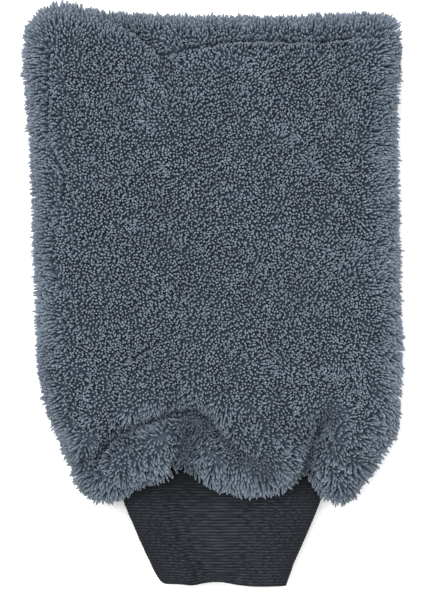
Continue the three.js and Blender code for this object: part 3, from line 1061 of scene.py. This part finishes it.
def thread_tube(name, path, closed=False):
    """A round thread along a path."""
    curve = bpy.data.curves.new(name, "CURVE")
    curve.dimensions = "3D"
    curve.bevel_depth = THREAD
    curve.bevel_resolution = 1
    curve.use_fill_caps = True
    line = curve.splines.new("POLY")
    line.points.add(len(path) - 1)
    line.points.foreach_set("co", np.column_stack([path, np.ones(len(path))]).ravel())
    line.use_cyclic_u = closed
    holder = bpy.data.objects.new(name, curve)
    bpy.context.scene.collection.objects.link(holder)
    mesh = bpy.data.meshes.new_from_object(holder.evaluated_get(bpy.context.evaluated_depsgraph_get()))
    bpy.data.objects.remove(holder)
    mesh.materials.clear()
    mesh.materials.append(SEWING_THREAD)
    mesh.polygons.foreach_set("use_smooth", np.ones(len(mesh.polygons), bool))
    thread = bpy.data.objects.new(name, mesh)
    bpy.context.scene.collection.objects.link(thread)
    return thread


POINTS_PER_TURN = 9


def overlock(line, across, up, pitch, radius):
    """A thread that winds round a seam, one turn every pitch: a flattened helix about the line."""
    length = np.linalg.norm(np.diff(line, axis=0), axis=1).sum()
    turns = round(length / pitch)
    shares = np.linspace(0, 1, turns * POINTS_PER_TURN)
    angle = (shares * turns * 2 * math.pi)[:, None]
    across, up = at_shares(line, across, shares), at_shares(line, up, shares)
    return along_line(line, shares) + radius * (np.cos(angle) * across + np.sin(angle) * up)


def seam_thread(name, inset):
    """Overlock stitching inside the side seam, from one side of the neck round to the other."""
    start = (SIDE - 24 * MM, LOBE + 12 * MM)
    end = (30 * MM - SIDE, LOBE + 12 * MM)
    plan = seam_part(start, end)
    ahead = np.gradient(plan, axis=0)
    inward = unit(np.column_stack([-ahead[:, 1], ahead[:, 0], np.zeros(len(plan))]))
    line = np.column_stack([plan, np.full(len(plan), SEAM_Z)]) + inward * inset
    return thread_tube(name, overlock(line, inward, (0, 0, 1), pitch=2.6 * MM, radius=0.9 * MM))


def cuff_join_thread():
    """Stitching that joins the cuff's root to the mitt, all round it."""
    count = 400
    angle = np.linspace(0, 2 * math.pi, count)
    ring = cuff_points(np.zeros(count), angle, WEBBING / 2)
    ring[:, 1] = CUFF_HIGH.y + 0.5 * MM
    outward = unit(ring - np.array([CUFF_X, CUFF_HIGH.y, CUFF_Z]))
    path = overlock(ring, outward, (0, 1, 0), pitch=2.2 * MM, radius=0.8 * MM)
    return thread_tube("cuff_join_stitches", path, closed=True)


def cuff_side_thread():
    """Zigzag stitching down the inside of the cuff, next to its right fold."""
    share = np.linspace(0.03, 0.97, 120)
    beside_fold = np.full(len(share), 0.04)  # an angle round the cuff
    line = cuff_points(share, beside_fold, WEBBING + RIB_HEIGHT + 1.1 * MM)
    path = overlock(line, (0, 0, 1), (1, 0, 0), pitch=2.4 * MM, radius=0.7 * MM)
    return thread_tube("cuff_side_stitches", path)


# ---- Put the mitt together ----

front_points, back_points = panel_points()
front_points, back_points = inflate(front_points, back_points)
front_normals = normals_of(front_points)
back_normals = -normals_of(back_points)

front_backing = panel_sheet("front_backing", front_points, front_normals, BACKING, PLUSH_BACKING)
back_backing = panel_sheet("back_backing", back_points, back_normals, BACKING, PLUSH_BACKING)
bends(front_backing, "outer_front_panel")
bends(back_backing, "outer_back_panel")

front_lining = panel_sheet("front_lining", lining_points(front_points, front_normals), front_normals,
                           LINING, LINING_WEAVE)
back_lining = panel_sheet("back_lining", lining_points(back_points, back_normals), back_normals,
                          LINING, LINING_WEAVE)
bends(front_lining, "lining_front_panel")
bends(back_lining, "lining_back_panel")

front_pile = make_pile("front", front_points, front_normals, front=True, seed=SEED + 100)
back_pile = make_pile("back", back_points, back_normals, front=False, seed=SEED + 200)

cuff = make_cuff()
bends(cuff, "cuff_band")

outer_stitches = seam_thread("outer_seam_stitches", inset=1.2 * MM)
lining_stitches = seam_thread("lining_seam_stitches", inset=4.5 * MM)
rides(outer_stitches, "mitt", "outer_seam_thread")
rides(lining_stitches, "mitt", "lining_seam_thread")
bends(cuff_join_thread(), "cuff_join_thread")
bends(cuff_side_thread(), "cuff_side_seam_thread")

for name in ("lining_tack_right", "lining_tack_left"):
    for material_slot in frame["nodes"][name].material_slots:
        material_slot.material = SEWING_THREAD


# ---- Floor, light and camera ----

def make_floor():
    half = 3.0  # metres
    corners = np.array([(-half, -half, 0), (half, -half, 0), (half, half, 0), (-half, half, 0)])
    s = Shader("pale_floor", Roughness=0.9, Specular_IOR_Level=0.1)
    source, _ = s.place()
    s.color(s.mix(s.noise(source, 3), (0.93, 0.93, 0.93, 1), (0.95, 0.95, 0.95, 1)))
    floor = mesh_object("floor", corners, [np.array([[0, 1, 2, 3]])], s.material)


def soft_light(name, place, size, power):
    light = bpy.data.lights.new(name, "AREA")
    light.shape = "DISK"
    light.size = size
    light.energy = power
    thing = bpy.data.objects.new(name, light)
    thing.location = place
    thing.rotation_euler = (-Vector(place)).to_track_quat("-Z", "Y").to_euler()
    bpy.context.scene.collection.objects.link(thing)


def make_world(strength):
    world = bpy.data.worlds.new("studio")
    world.use_nodes = True
    background = world.node_tree.nodes["Background"]
    background.inputs["Color"].default_value = (1, 1, 1, 1)
    background.inputs["Strength"].default_value = strength
    bpy.context.scene.world = world


def make_camera():
    """Straight above the mitt, with a long lens. The picture's height takes in 300 mm at the seam."""
    covered = 0.300
    data = bpy.data.cameras.new("camera")
    data.lens = 100
    data.sensor_width = 36
    data.clip_end = 20
    camera = bpy.data.objects.new("camera", data)
    distance = covered * data.lens / data.sensor_width
    camera.location = (-0.7 * MM, -2.4 * MM, SEAM_Z + distance)
    bpy.context.scene.collection.objects.link(camera)
    bpy.context.scene.camera = camera


make_floor()
soft_light("overhead", place=(-0.3, 0.35, 1.4), size=1.2, power=24)
soft_light("side_fill", place=(1.0, -0.7, 0.9), size=1.0, power=7)
make_world(strength=0.85)
make_camera()
bpy.context.scene.view_settings.view_transform = "Standard"
